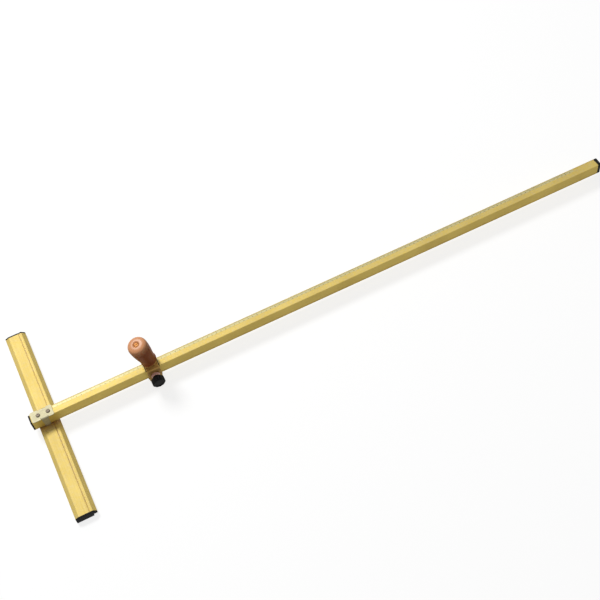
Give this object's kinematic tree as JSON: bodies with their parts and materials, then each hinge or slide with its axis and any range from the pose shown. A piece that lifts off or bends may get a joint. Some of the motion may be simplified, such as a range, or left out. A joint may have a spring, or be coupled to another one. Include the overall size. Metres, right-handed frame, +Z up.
{
  "type": "t-shaped glass cutter",
  "caption": "T-shaped glass cutter: hollow fence, long guide rod, sliding carriage with wooden handle, oil reservoir, lock knob and cutting wheel.",
  "frame": {"origin": "middle of the fence's glass stop face, under the guide rod's centre line", "axes": "+X along the guide rod away from the fence, +Y along the fence, +Z up away from the glass"},
  "size_m": [1.3016, 0.4486, 0.1215],
  "materials": {
    "gold_anodised": "satin gold anodised extrusion",
    "gold_cast": "satin gold casting",
    "nickel_plate": "bright nickel plate",
    "steel": "plain turned steel",
    "hard_metal": "ground hard metal",
    "brass": "turned brass",
    "black_plastic": "moulded black plastic",
    "knob_plastic": "black moulded knob",
    "lacquered_wood": "turned and lacquered, reddish orange",
    "nylon": "dark nylon",
    "rubber": "black rubber",
    "felt": "pressed felt"
  },
  "bodies": {
    "frame": {"fence": "gold_anodised", "fence_cap_left": "black_plastic", "fence_cap_right": "black_plastic", "nut_bar": "steel", "guide_rod": "gold_anodised", "rod_far_cap": "black_plastic", "rod_near_plug": "black_plastic", "rod_saddle": "nickel_plate", "saddle_screw_outer": "nickel_plate", "saddle_screw_inner": "nickel_plate"},
    "carriage": {"carriage_body": "gold_cast", "glide_liner": "nylon", "lock_bush": "steel", "handle_grip": "lacquered_wood", "oil_tube": "brass", "cutter_stem": "brass", "head_set_screw": "steel", "stem_nut": "nickel_plate", "oil_wick": "felt"},
    "clamp_shoe": {"clamp_shoe": "brass"},
    "lock_knob": {"lock_knob": "knob_plastic", "lock_screw": "steel"},
    "oil_plug_seal": {"oil_plug_seal": "rubber"},
    "oil_plug": {"oil_plug": "brass"},
    "cutter_head": {"cutter_head": "nickel_plate", "wheel_axle": "steel"},
    "cutting_wheel": {"cutting_wheel": "hard_metal"}
  },
  "joints": [
    {"name": "carriage_slide", "type": "slide", "parent": "frame", "child": "carriage", "axis": [1, 0, 0], "range_m": [-0.18, 0.99]},
    {"name": "clamp_shoe_slide", "type": "slide", "parent": "carriage", "child": "clamp_shoe", "axis": [0, -1, 0], "range_m": [0, 0.0015]},
    {"name": "lock_knob_turn", "type": "hinge", "parent": "clamp_shoe", "child": "lock_knob", "pos_m": [0.211, 0, 0.0268], "axis": [0, -1, 0], "range_deg": [0, 540]},
    {"name": "oil_seal_slide", "type": "slide", "parent": "carriage", "child": "oil_plug_seal", "axis": [-0.1736, 0, 0.9848], "range_m": [0, 0.004]},
    {"name": "oil_plug_turn", "type": "hinge", "parent": "oil_plug_seal", "child": "oil_plug", "pos_m": [0.19989, 0.0065, 0.11242], "axis": [-0.1736, 0, 0.9848], "range_deg": [0, 1800]},
    {"name": "cutter_head_swivel", "type": "hinge", "parent": "carriage", "child": "cutter_head", "pos_m": [0.211, 0.0223, 0.01], "axis": [0, 0, 1], "range_deg": [-5, 5]},
    {"name": "cutting_wheel_spin", "type": "hinge", "parent": "cutter_head", "child": "cutting_wheel", "pos_m": [0.211, 0.0231, 0.0058], "axis": [1, 0, 0], "continuous": true}
  ],
  "couplings": [
    {"joint": "lock_knob_turn", "follows": "clamp_shoe_slide", "rad_per_m": 6283.2},
    {"joint": "oil_plug_turn", "follows": "oil_seal_slide", "rad_per_m": 7854}
  ]
}
